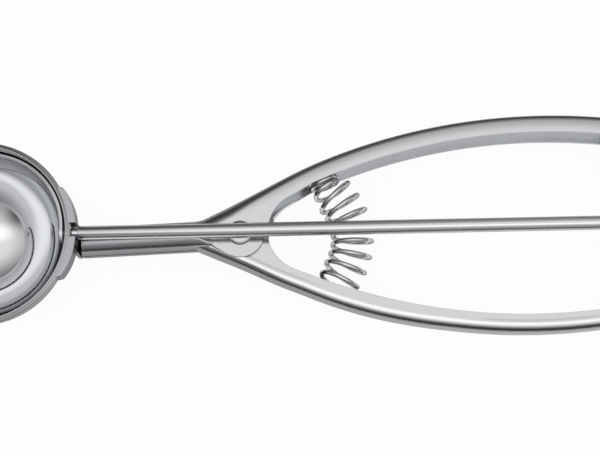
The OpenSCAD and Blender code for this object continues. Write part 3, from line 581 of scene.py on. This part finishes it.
# Lever: the lower grip, whose nose rests under the neck and whose ears sit between the fixed
# handle's. It is the same pressing, a little narrower, turned over about the shaft.
LEVER_OFFSET, LEVER_HALF, LEVER_CLOSER = 8.4, 4.78, 2
LEVER_BEND_R, LEVER_BEND_MORE, LEVER_BEND_FROM, LEVER_BEND_FADE = 2.1, 0.3, 8, 14
LEVER_CROWN_R, LEVER_CROWN_END = 4.2, 3.0
COINED_BY, COINED_TO, COINED_FROM, COINED_FADE = 0.15, 20, 66, 14
# Painted shade on the lever's web near the ears, fading out along the grip.
LEVER_PAINTED_SHADE, LEVER_PAINTED_SHADE_TO, LEVER_PAINTED_SHADE_FADE = 0.75, 12, 60
LEVER_SWELLS = [(0.3, 14, 10), (0.45, 40, 30)]
NOSE_LINE = NECK_LIFT - NECK_HALF - 0.05
NOSE_FROM, NOSE_LENGTH, NOSE_STEPS = -10.5, 5.5, 13
LEVER_FROM, LEVER_STEPS, LEVER_EAR_R = -4.6, 56, EAR_R - 0.12
lever_turn = Matrix.Rotation(math.radians(LEVER_CLOSER), 3, "Z") @ Matrix.Diagonal((1, -1, 1))


def lever_flange(run):
    """A full bend round the ears, then a tighter one; a step where the face is coined; painted shade on
    the web near the ears.
    """
    bend_r = LEVER_BEND_R + LEVER_BEND_MORE * (1 - ease((run - LEVER_BEND_FROM) / LEVER_BEND_FADE))
    coined = 1 - ease((run - COINED_TO) / COINED_FADE) + ease((run - COINED_FROM) / COINED_FADE)
    worked = LEVER_PAINTED_SHADE * (1 - ease((run - LEVER_PAINTED_SHADE_TO) / LEVER_PAINTED_SHADE_FADE))
    return Flange(bend_r, LEVER_CROWN_R, LEVER_CROWN_END, COINED_BY * coined, worked)


def lever_bulge(run):
    """Two low swells of the outline, one past the ears and one along the grip."""
    return sum(height * swell((run - middle) / reach) for height, middle, reach in LEVER_SWELLS)


def on_lever(flat):
    """A point or direction of the upper grip, turned over to the lever."""
    placed = lever_turn @ Vector((flat.x, flat.y, 0))
    return Vector((placed.x, placed.y))


lever_stations = []
inward = -heading(SPLAY + 90)
neck_up = heading(NECK_TURN + 90)
for i in range(NOSE_STEPS + 1):
    run = NOSE_FROM + NOSE_LENGTH * i / NOSE_STEPS
    outer = along(LEVER_OFFSET, run)
    reach = (NOSE_LINE - on_lever(outer).dot(neck_up)) / on_lever(inward).dot(neck_up)
    lever_stations.append(Station(outer, inward, max(reach, 0.0), lever_flange(run)))
lever_stations += grip_stations(LEVER_OFFSET, LEVER_FROM, LEVER_STEPS, LEVER_EAR_R,
                                lever_bulge, lever_flange)
lever_shell = stamping(lever_stations, LEVER_HALF, lever_turn)
lever_piece = finish_piece("lever_handle_stamping", lever_shell, HANDLE_STEEL, "lever",
                           ["lever_handle"])
edge_and_wall(lever_piece)

# Pivot rivet: turned from bar and headed over both of the fixed handle's ears to a low dome,
# which is polished with them. The lever turns on it, its ears kept apart by a tube.
RIVET_R, HEAD_R, HEAD_H, HEAD_SKIRT = 1.9, 3.55, 0.95, 0.12
HEAD_EDGE, HEAD_CHAMFER, RIVET_STEPS = 0.05, 0.06, 72
SEAT_DEPTH = 1.1 * MM
rivet_low, rivet_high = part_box("pivot_rivet")
front_seat, rear_seat = rivet_high.z - SEAT_DEPTH, rivet_low.z + SEAT_DEPTH

# Polished stainless bar: a light dome with a thin darker ring at its edge.
RIVET_STEEL = steel("polished_rivet_steel", "#B4B5B7", roughness=0.09, line_mm=0.15,
                    axis="Y", wear=0.04, depth=0.02)

turns = [math.radians(a) for a in range(0, 91, 6)]
dome = [(HEAD_R * math.cos(a), HEAD_SKIRT + HEAD_H * math.sin(a)) for a in turns]
rivet_side = [(RIVET_R, 0), (HEAD_R - HEAD_CHAMFER, 0), (HEAD_R, HEAD_EDGE)] + dome
rivet_side = [(max(r, 0.0) * MM, z * MM) for r, z in rivet_side]
rivet_profile = [(r, rear_seat - z) for r, z in reversed(rivet_side)]
rivet_profile += [(r, front_seat + z) for r, z in rivet_side]
turned_rivet = lathe(rivet_profile, RIVET_STEPS)
bmesh.ops.translate(turned_rivet, verts=turned_rivet.verts, vec=(PIVOT.x, PIVOT.y, 0))
rivet_piece = finish_piece("pivot_rivet_domed", turned_rivet, RIVET_STEEL, "frame",
                           ["pivot_rivet"])
rivet_piece.modifiers.new("sharp_steps", "EDGE_SPLIT").split_angle = math.radians(50)
dress("pivot_spacer", PIN_STEEL, 0.1)

# Wiper shaft: a ground and polished rod, stepped down to a stub where it enters the bowl, with
# a groove for the clip at its chamfered tail.
shaft_low, shaft_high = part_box("wiper_shaft")
STUB_R, SHAFT_R = 1.3 * MM, (shaft_high.y - shaft_low.y) / 2
EASE, CHAMFER = 0.12 * MM, 0.4 * MM
STEP_X = BOWL_CENTRE.x + 28.4 * MM
GROOVE_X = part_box("shaft_clip")[0].x
GROOVE_BEFORE, GROOVE_AFTER, GROOVE_DEPTH = 0.05 * MM, 0.65 * MM, 0.5 * MM
ROD_STEPS = 64

# Ground stainless rod: a bright line of light along it, blurred a little by the grinding.
ROD_STEEL = steel("ground_stainless_rod", "#D6D7D9", roughness=0.14, line_mm=0.12,
                  axis="X", wear=0.04, depth=0.03)

rod = [(0, shaft_low.x), (STUB_R - EASE, shaft_low.x), (STUB_R, shaft_low.x + EASE),
       (STUB_R, STEP_X), (SHAFT_R - EASE * 2, STEP_X),
       (SHAFT_R - EASE * 0.6, STEP_X + EASE * 0.6), (SHAFT_R, STEP_X + EASE * 2),
       (SHAFT_R, GROOVE_X - GROOVE_BEFORE), (SHAFT_R - GROOVE_DEPTH, GROOVE_X - GROOVE_BEFORE),
       (SHAFT_R - GROOVE_DEPTH, GROOVE_X + GROOVE_AFTER), (SHAFT_R, GROOVE_X + GROOVE_AFTER),
       (SHAFT_R, shaft_high.x - CHAMFER), (SHAFT_R - CHAMFER, shaft_high.x), (0, shaft_high.x)]
turned_rod = lathe(rod, ROD_STEPS)
bmesh.ops.rotate(turned_rod, verts=turned_rod.verts, cent=(0, 0, 0),
                 matrix=Matrix.Rotation(math.pi / 2, 3, "Y"))
bmesh.ops.translate(turned_rod, verts=turned_rod.verts, vec=(0, SHAFT_Y, AXIS_Z))
rod_piece = finish_piece("wiper_shaft_rod", turned_rod, ROD_STEEL, "wiper",
                         ["wiper_shaft"])
rod_piece.modifiers.new("sharp_steps", "EDGE_SPLIT").split_angle = math.radians(35)

# Return spring: drawn stainless wire, wound as a barrel with closed end coils that sit on two
# pegs in the channels, and bowed towards the tail.
WIRE_D, COIL_R, COIL_END_R, COIL_TURNS = 1.4, 5.6, 3.7, 13.6
UPPER_CLOSED, LOWER_CLOSED, CLOSED_PITCH = 3.1, 1.45, 1.45
PITCH_EASE, SPRING_BOW = 0.2, 6.8
UPPER_SEAT_X, LOWER_SEAT_X, SEAT_GAP = 22.8, 24.4, 0.2
STEPS_A_TURN = 40


def seat(offset, x):
    """Where the spring sits on the inside of a web, and the way out of it."""
    centre = along(offset - GRIP_R, STRAIGHT_RUN)
    angle = math.degrees(math.acos((x - centre.x) / (GRIP_R - SHEET)))
    return centre + heading(angle) * (GRIP_R - SHEET), -heading(angle)


upper_seat, upper_normal = seat(FIXED_OFFSET, UPPER_SEAT_X)
lower_seat, lower_normal = [on_lever(v) for v in seat(LEVER_OFFSET, LOWER_SEAT_X)]
spring_a = upper_seat + upper_normal * (WIRE_D / 2 + SEAT_GAP + CLOSED_PITCH * UPPER_CLOSED)
spring_b = lower_seat + lower_normal * (WIRE_D / 2 + SEAT_GAP + CLOSED_PITCH * LOWER_CLOSED)
chord = spring_b - spring_a
towards_tail = Vector((-chord.y, chord.x)).normalized()
spring_pull = (spring_a + spring_b) / 2 + towards_tail * 2 * SPRING_BOW


def wire_point(turns):
    """Centre of the wire after a count of turns from the upper seat."""
    normal = upper_normal if turns < COIL_TURNS / 2 else lower_normal
    out = min(turns - UPPER_CLOSED, COIL_TURNS - turns - LOWER_CLOSED)
    share = (turns - UPPER_CLOSED) / (COIL_TURNS - UPPER_CLOSED - LOWER_CLOSED)
    share = min(max(share, 0.0), 1.0)
    s = share - PITCH_EASE * share * (1 - share) * (1 - 2 * share)
    centre = spring_a * (1 - s) ** 2 + spring_pull * 2 * s * (1 - s) + spring_b * s * s
    centre = centre + normal * min(0.0, out) * CLOSED_PITCH
    slope = ((spring_pull - spring_a) * (1 - s) + (spring_b - spring_pull) * s).normalized()
    seat_axis = normal if turns < COIL_TURNS / 2 else -normal
    axis = (seat_axis * (1 - ease(out)) + slope * ease(out)).normalized()
    radius = COIL_END_R + (COIL_R - COIL_END_R) * ease(out)
    turn = math.tau * turns
    x = centre.x - axis.y * radius * math.cos(turn)
    y = centre.y + axis.x * radius * math.cos(turn)
    return Vector((x, y, MIDDLE_Z + radius * math.sin(turn)))


# Drawn stainless wire: smooth and bright, a thin highlight and a dark flank on every turn.
WIRE_STEEL = steel("drawn_stainless_wire", "#CFD0D2", roughness=0.09, line_mm=0.1,
                   axis="Y", wear=0.04, depth=0.02)

wire = bpy.data.curves.new("wire_path", "CURVE")
wire.dimensions = "3D"
wire.bevel_depth = WIRE_D / 2 * MM
wire.bevel_resolution = 5
wire.use_fill_caps = True
wire_steps = round(COIL_TURNS * STEPS_A_TURN)
path = wire.splines.new("POLY")
path.points.add(wire_steps)
for i, point in enumerate(path.points):
    point.co = (*(PIVOT + wire_point(COIL_TURNS * i / wire_steps) * MM), 1)
wire_holder = bpy.data.objects.new("wire_path", wire)
scene.collection.objects.link(wire_holder)
bpy.context.view_layer.update()
wound = wire_holder.evaluated_get(bpy.context.evaluated_depsgraph_get())
spring_mesh = bpy.data.meshes.new_from_object(wound)
bpy.data.objects.remove(wire_holder)
spring = bpy.data.objects.new("return_spring_wire", spring_mesh)
scene.collection.objects.link(spring)
spring_mesh.materials.clear()
spring_mesh.materials.append(WIRE_STEEL)
for face in spring_mesh.polygons:
    face.use_smooth = True
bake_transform(spring)
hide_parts("return_spring")
dress("upper_spring_peg", PIN_STEEL, 0.1)
dress("lower_spring_peg", PIN_STEEL, 0.1)

# Drive at the tail: a blanked rack on the lever, a cut pinion on the shaft, the bearing bracket
# on the fixed handle, and their small rivets, washer and clip.

# Machined stainless: grey and nearly matt from the cutter, with fine lines along the teeth.
GEAR_STEEL = steel("machined_stainless_gear", "#A9ABAE", roughness=0.28, line_mm=0.15,
                   axis="X", wear=0.06, depth=0.08)
# Pressed stainless plate: light grey with a soft, slightly uneven shine.
PRESSED_STEEL = steel("pressed_stainless_plate", "#CDCED0", roughness=0.18, line_mm=0.25,
                      axis="Y", wear=0.06, depth=0.04)
dress("pinion", GEAR_STEEL, 0.05)
dress("rack", PRESSED_STEEL, 0.08)
dress("bearing_bracket", PRESSED_STEEL, 0.12)
dress("bracket_rivets", RIVET_STEEL, 0.05)
dress("rack_rivets", RIVET_STEEL, 0.05)
dress("shaft_washer", PIN_STEEL, 0.05)
dress("shaft_clip", GEAR_STEEL, 0.05)

# Floor: a plain sweep of white paper under the scoop. It shows white to the camera and in the
# steel through a glow, and its paint keeps some of the scoop's shadow.
FLOOR_HALF, FLOOR_DROP = 1.5, 0.2 * MM
FLOOR_GLOW = 0.93
floor_mesh = bmesh.new()
bmesh.ops.create_grid(floor_mesh, x_segments=1, y_segments=1, size=FLOOR_HALF)
bmesh.ops.translate(floor_mesh, verts=floor_mesh.verts, vec=(0, 0, -FLOOR_DROP))
floor_data = bpy.data.meshes.new("white_floor")
floor_mesh.to_mesh(floor_data)
floor_mesh.free()
floor = bpy.data.objects.new("white_floor", floor_data)
scene.collection.objects.link(floor)


def matt(name, colour):
    """A plain dull surface of one colour, as paper and card are."""
    made = bpy.data.materials.new(name)
    made.use_nodes = True
    shader = made.node_tree.nodes["Principled BSDF"]
    shader.inputs["Base Color"].default_value = linear(colour)
    shader.inputs["Roughness"].default_value = 0.9
    return made


# White paper: an even white without a gloss, in which only the faint shadow shows.
floor_paint = matt("white_paper_sweep", "#FAFAFA")
tree = floor_paint.node_tree
ray_kind = node(tree, "ShaderNodeLightPath")
seen = node(tree, "ShaderNodeMath", {"operation": "MAXIMUM"},
            _0=(ray_kind, "Is Camera Ray"), _1=(ray_kind, "Is Glossy Ray"))
seen = node(tree, "ShaderNodeMath", {"operation": "MAXIMUM"},
            _0=(seen, 0), _1=(ray_kind, "Is Transmission Ray"))
glow = node(tree, "ShaderNodeEmission", Color=linear("#FFFFFF"), Strength=1.0)
share = node(tree, "ShaderNodeMath", {"operation": "MULTIPLY"}, _0=(seen, 0), _1=FLOOR_GLOW)
mixed = node(tree, "ShaderNodeMixShader", Fac=(share, 0),
             _1=(tree.nodes["Principled BSDF"], 0), _2=(glow, 0))
tree.links.new(mixed.outputs[0], tree.nodes["Material Output"].inputs["Surface"])
floor_data.materials.append(floor_paint)

# Studio: a wide soft light overhead with a second pool in front of it, a dim room round them,
# and two long matt cards beside the scoop, which give polished steel its dark edges.

# A pool is its centre, its half sizes, the share that has its full light, and its strength. A
# dark spot is its direction, its reach, and the light that it takes away.
LIGHT_POOLS = [((0.06, -0.06), (1.15, 0.86), 0.36, 0.56), ((0.0, -0.26), (0.8, 0.3), 0.2, 0.5)]
DARK_SPOTS = [((-0.62, -0.5, 0.6), 0.42, -0.42), ((-0.6, 0.72, 0.35), 0.85, -0.36)]
ROOM_LOW, ROOM_HIGH, ROOM_TO, DARKEST = 0.3, 0.42, 0.5, 0.06
LAMP_PLACE, LAMP_SIZE, LAMP_WATTS = (0.0, -0.1, 0.9), (1.4, 1.0), 3.4
CARD_LENGTH, CARD_HEIGHT = 1.0, 0.04
CARD_PLACES = {"matt_card_back": 0.084, "matt_card_front": -0.07}
SMOOTH = {"interpolation_type": "SMOOTHSTEP"}

world = bpy.data.worlds.new("studio")
world.use_nodes = True
scene.world = world
tree = world.node_tree
way = node(tree, "ShaderNodeTexCoord")
height = node(tree, "ShaderNodeSeparateXYZ", Vector=(way, "Generated"))
pools = []
for centre, half_sizes, core, strength in LIGHT_POOLS:
    centred = node(tree, "ShaderNodeVectorMath", {"operation": "SUBTRACT"},
                   _0=(way, "Generated"), _1=(*centre, 0))
    scaled = node(tree, "ShaderNodeVectorMath", {"operation": "DIVIDE"},
                  _0=(centred, 0), _1=(*half_sizes, 1000))
    reach = node(tree, "ShaderNodeVectorMath", {"operation": "LENGTH"}, _0=(scaled, 0))
    pools.append(node(tree, "ShaderNodeMapRange", SMOOTH, Value=(reach, "Value"),
                      From_Min=core, From_Max=1.0, To_Min=strength, To_Max=0.0))
light = node(tree, "ShaderNodeMath", {"operation": "ADD"}, _0=(pools[0], 0), _1=(pools[1], 0))
for centre, half_width, amount in DARK_SPOTS:
    reach = node(tree, "ShaderNodeVectorMath", {"operation": "DISTANCE"},
                 _0=(way, "Generated"), _1=centre)
    spot = node(tree, "ShaderNodeMapRange", SMOOTH, Value=(reach, "Value"),
                From_Min=0.0, From_Max=half_width, To_Min=amount, To_Max=0.0)
    light = node(tree, "ShaderNodeMath", {"operation": "ADD"}, _0=(light, 0), _1=(spot, 0))
above = node(tree, "ShaderNodeMath", {"operation": "GREATER_THAN"}, _0=(height, "Z"), _1=0.0)
room = node(tree, "ShaderNodeMapRange", SMOOTH, Value=(height, "Z"),
            From_Min=0.0, From_Max=ROOM_TO, To_Min=ROOM_LOW, To_Max=ROOM_HIGH)
light = node(tree, "ShaderNodeMath", {"operation": "MULTIPLY_ADD"},
             _0=(light, 0), _1=(above, 0), _2=(room, 0))
light = node(tree, "ShaderNodeMath", {"operation": "MAXIMUM"}, _0=(light, 0), _1=DARKEST)
tree.links.new(light.outputs[0], tree.nodes["Background"].inputs["Strength"])
tree.nodes["Background"].inputs["Color"].default_value = linear("#FFFFFF")

lamp_data = bpy.data.lights.new("overhead_softbox", "AREA")
lamp_data.shape = "ELLIPSE"
lamp_data.size, lamp_data.size_y = LAMP_SIZE
lamp_data.energy = LAMP_WATTS
lamp = bpy.data.objects.new("overhead_softbox", lamp_data)
lamp.location = LAMP_PLACE
lamp.visible_glossy = False
scene.collection.objects.link(lamp)

# Grey card: a flat mid-grey that polished steel shows as a darker band along its edges.
card_paint = matt("matt_grey_card", "#828282")
for name, beside in CARD_PLACES.items():
    card_edit = bmesh.new()
    bmesh.ops.create_grid(card_edit, x_segments=1, y_segments=1, size=CARD_LENGTH / 2)
    bmesh.ops.scale(card_edit, verts=card_edit.verts, vec=(1, CARD_HEIGHT / CARD_LENGTH, 1))
    bmesh.ops.rotate(card_edit, verts=card_edit.verts, cent=(0, 0, 0),
                     matrix=Matrix.Rotation(math.pi / 2, 3, "X"))
    bmesh.ops.translate(card_edit, verts=card_edit.verts,
                        vec=(0, beside + SHAFT_Y, CARD_HEIGHT / 2))
    card_mesh = bpy.data.meshes.new(name)
    card_edit.to_mesh(card_mesh)
    card_edit.free()
    card_mesh.materials.append(card_paint)
    card = bpy.data.objects.new(name, card_mesh)
    card.visible_camera = card.visible_shadow = card.visible_diffuse = False
    scene.collection.objects.link(card)
scene.view_settings.view_transform = "Standard"

# Camera: over the bowl's open side, tipped towards the lever and rolled a little. The shift
# puts the point that it looks at on its pixel of the 600 x 456 image.
TIP, ROLL = math.radians(13.5), math.radians(1.15)
LENS, SENSOR, DISTANCE, LOOK_ALONG = 81, 36, 0.3827, 0.0938
LOOK_AT = Vector((BOWL_CENTRE.x + LOOK_ALONG, SHAFT_Y, AXIS_Z))
IMAGE_WIDTH, IMAGE_HEIGHT = 600, 456
AIM_PIXEL = (309.0, 228.5)
back = Vector((0, -math.sin(TIP), math.cos(TIP)))
up = Vector((0, math.cos(TIP), math.sin(TIP)))
right = Vector((1, 0, 0))
turned_right = right * math.cos(ROLL) - up * math.sin(ROLL)
turned_up = up * math.cos(ROLL) + right * math.sin(ROLL)
camera = bpy.data.objects.new("camera", bpy.data.cameras.new("camera"))
camera.data.lens = LENS
camera.data.sensor_width = SENSOR
camera.data.shift_x = (IMAGE_WIDTH / 2 - AIM_PIXEL[0]) / IMAGE_WIDTH
camera.data.shift_y = (AIM_PIXEL[1] - IMAGE_HEIGHT / 2) / IMAGE_WIDTH
camera.data.clip_start = 0.01
turn = Matrix((turned_right, turned_up, back)).transposed()
camera.matrix_world = Matrix.Translation(LOOK_AT + back * DISTANCE) @ turn.to_4x4()
scene.collection.objects.link(camera)
scene.camera = camera
